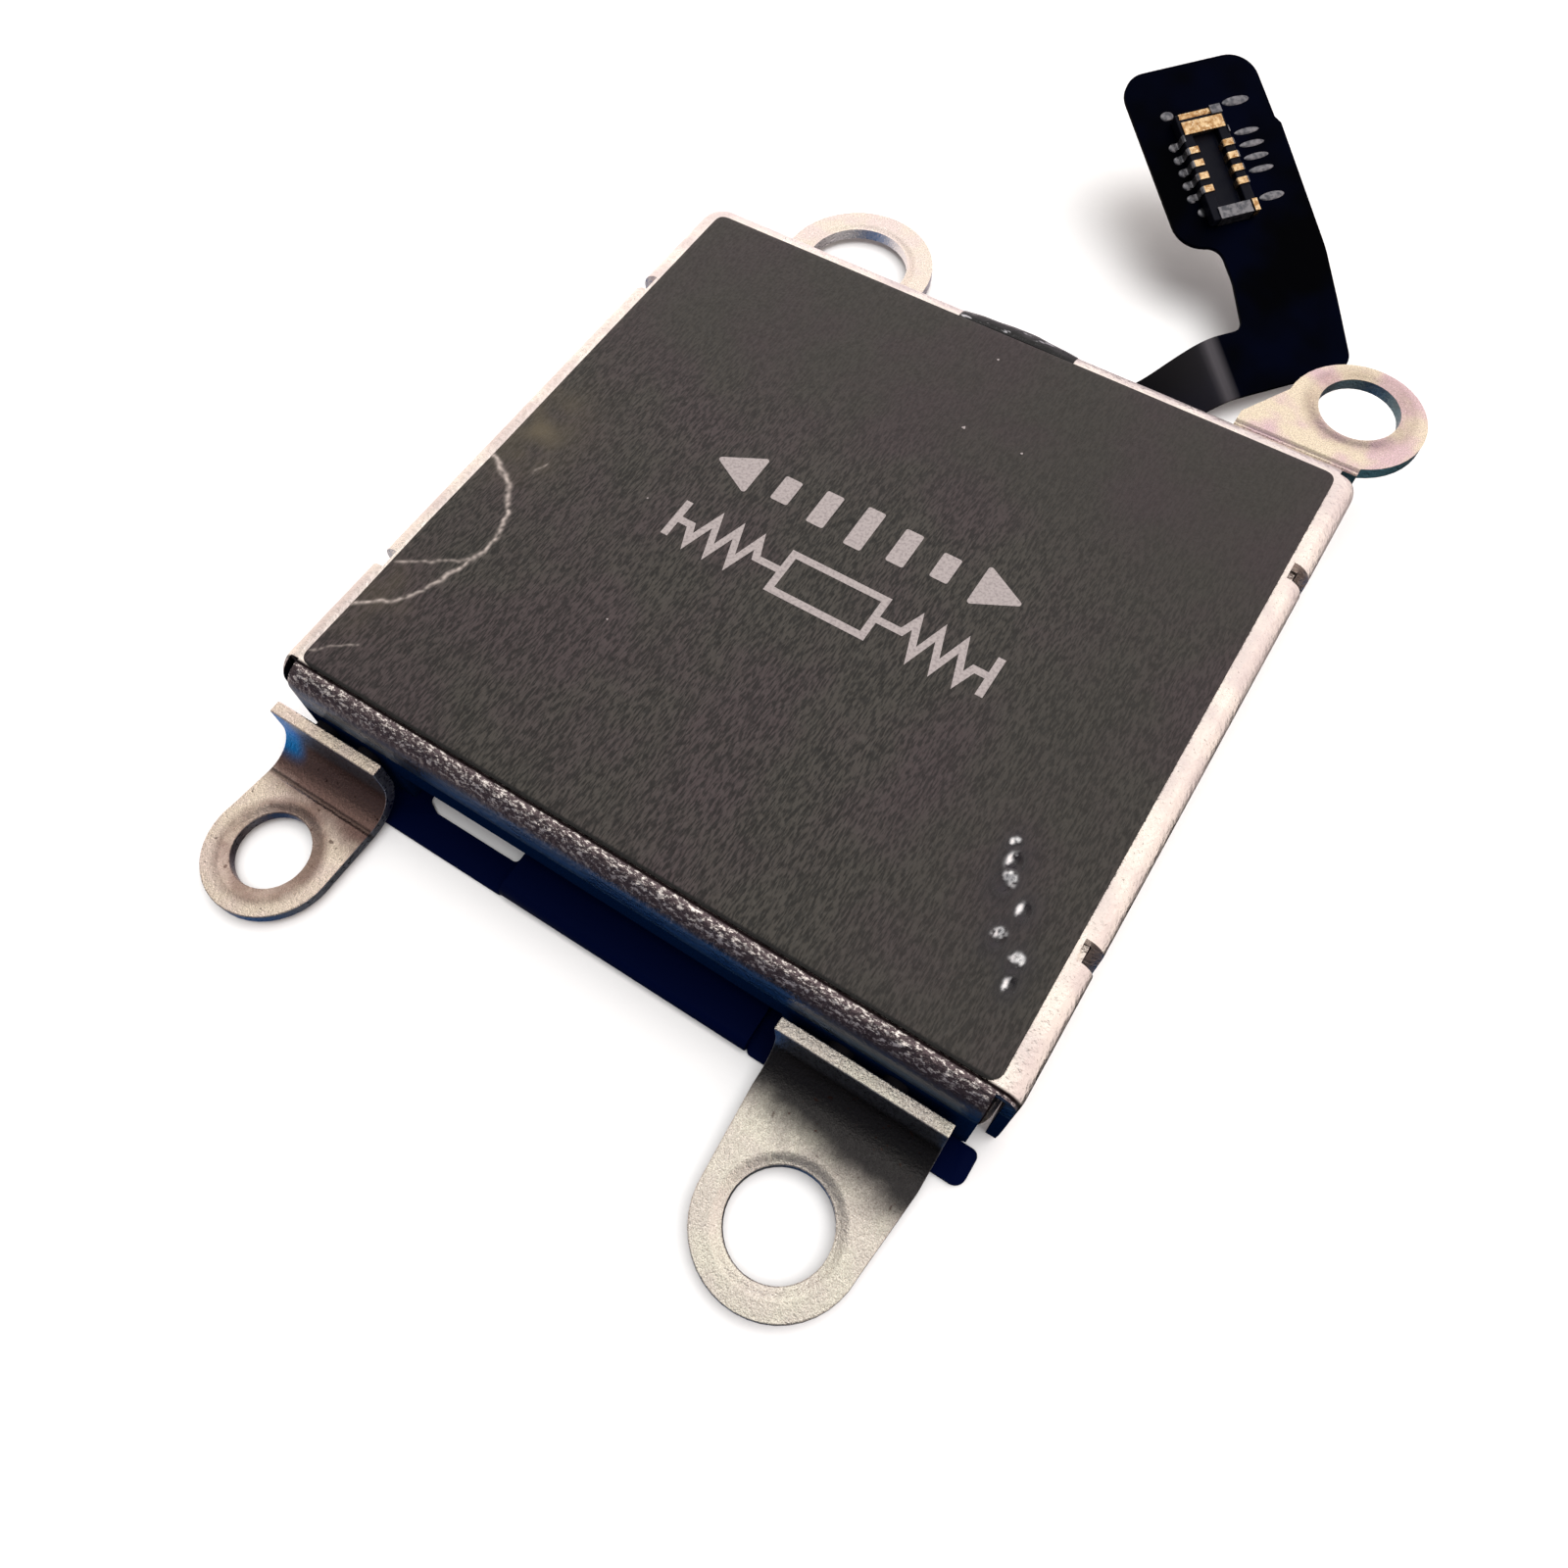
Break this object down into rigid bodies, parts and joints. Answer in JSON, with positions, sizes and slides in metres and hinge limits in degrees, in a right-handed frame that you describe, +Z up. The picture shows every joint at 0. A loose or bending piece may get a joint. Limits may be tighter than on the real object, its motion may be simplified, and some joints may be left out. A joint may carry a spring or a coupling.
{
  "type": "linear haptic actuator",
  "caption": "Flat sheet-metal vibration actuator with screw lugs at its corners, a sprung magnet mass that slides inside, and a flex tail with a board connector.",
  "frame": {"origin": "centre of the case's underside", "axes": "+X along the front edge with the two low lugs, which is also the way the mass slides; +Y from the front edge towards the flex tail; +Z up through the label"},
  "size_m": [0.017, 0.0307, 0.0033],
  "materials": {
    "case_steel": "drawn stainless sheet, satin, warm white",
    "lug_steel": "pressed stainless sheet, satin with fine grain",
    "label_film": "matt dark grey film with a fine leather-like grain",
    "edge_tape": "thin glossy black tape",
    "flex_film": "black-blue coverlay film, semi-gloss",
    "stiffener_plate": "black glass-epoxy stiffener",
    "connector_plastic": "moulded black liquid-crystal polymer",
    "gold_plate": "gold-plated copper alloy",
    "tin_plate": "dull tin plate and solder",
    "coil_wire": "enamelled copper wire, bonded",
    "heavy_alloy": "sintered tungsten alloy, ground",
    "magnet_nickel": "nickel-plated magnet",
    "yoke_steel": "plated magnetic steel",
    "spring_steel": "rolled spring steel",
    "stop_rubber": "soft rubber pad",
    "chip_plastic": "black chip package",
    "chip_ceramic": "ceramic chip capacitor with tinned ends"
  },
  "bodies": {
    "case": {"base_tray": "case_steel", "top_cover": "case_steel", "label_film": "label_film", "rear_edge_tape": "edge_tape", "front_left_lug": "lug_steel", "front_right_lug": "lug_steel", "rear_left_lug": "lug_steel", "rear_right_lug": "lug_steel", "lug_weld_spots": "lug_steel", "flex_circuit": "flex_film", "left_coil": "coil_wire", "right_coil": "coil_wire", "hall_sensor": "chip_plastic", "capacitors": "chip_ceramic", "coil_solder_joints": "tin_plate", "case_weld_plates": "spring_steel", "end_stop_pads": "stop_rubber", "left_leaf_spring": "spring_steel", "right_leaf_spring": "spring_steel"},
    "moving_mass": {"mass_block": "heavy_alloy", "magnet_1": "magnet_nickel", "magnet_2": "magnet_nickel", "magnet_3": "magnet_nickel", "magnet_4": "magnet_nickel", "yoke_plate": "yoke_steel", "mass_weld_plates": "spring_steel"},
    "flex_tail": {"flex_bend": "flex_film", "flex_tail": "flex_film", "head_stiffener": "stiffener_plate", "connector_housing": "connector_plastic", "connector_contacts": "gold_plate", "connector_power_bar": "gold_plate", "connector_ground_bar": "tin_plate", "solder_pads": "tin_plate"}
  },
  "joints": [
    {"name": "mass_slide", "type": "slide", "parent": "case", "child": "moving_mass", "axis": [1, 0, 0], "range_m": [-0.00055, 0.00055], "stiffness_N_per_m": 2000, "deforming": ["left_leaf_spring", "right_leaf_spring"]},
    {"name": "tail_bend", "type": "hinge", "parent": "case", "child": "flex_tail", "pos_m": [0.00333, 0.01026, 0.0003], "axis": [0.766, -0.6428, 0], "range_deg": [-5, 90], "stiffness_Nm_per_rad": 0.0004, "deforming": ["flex_bend"]}
  ]
}
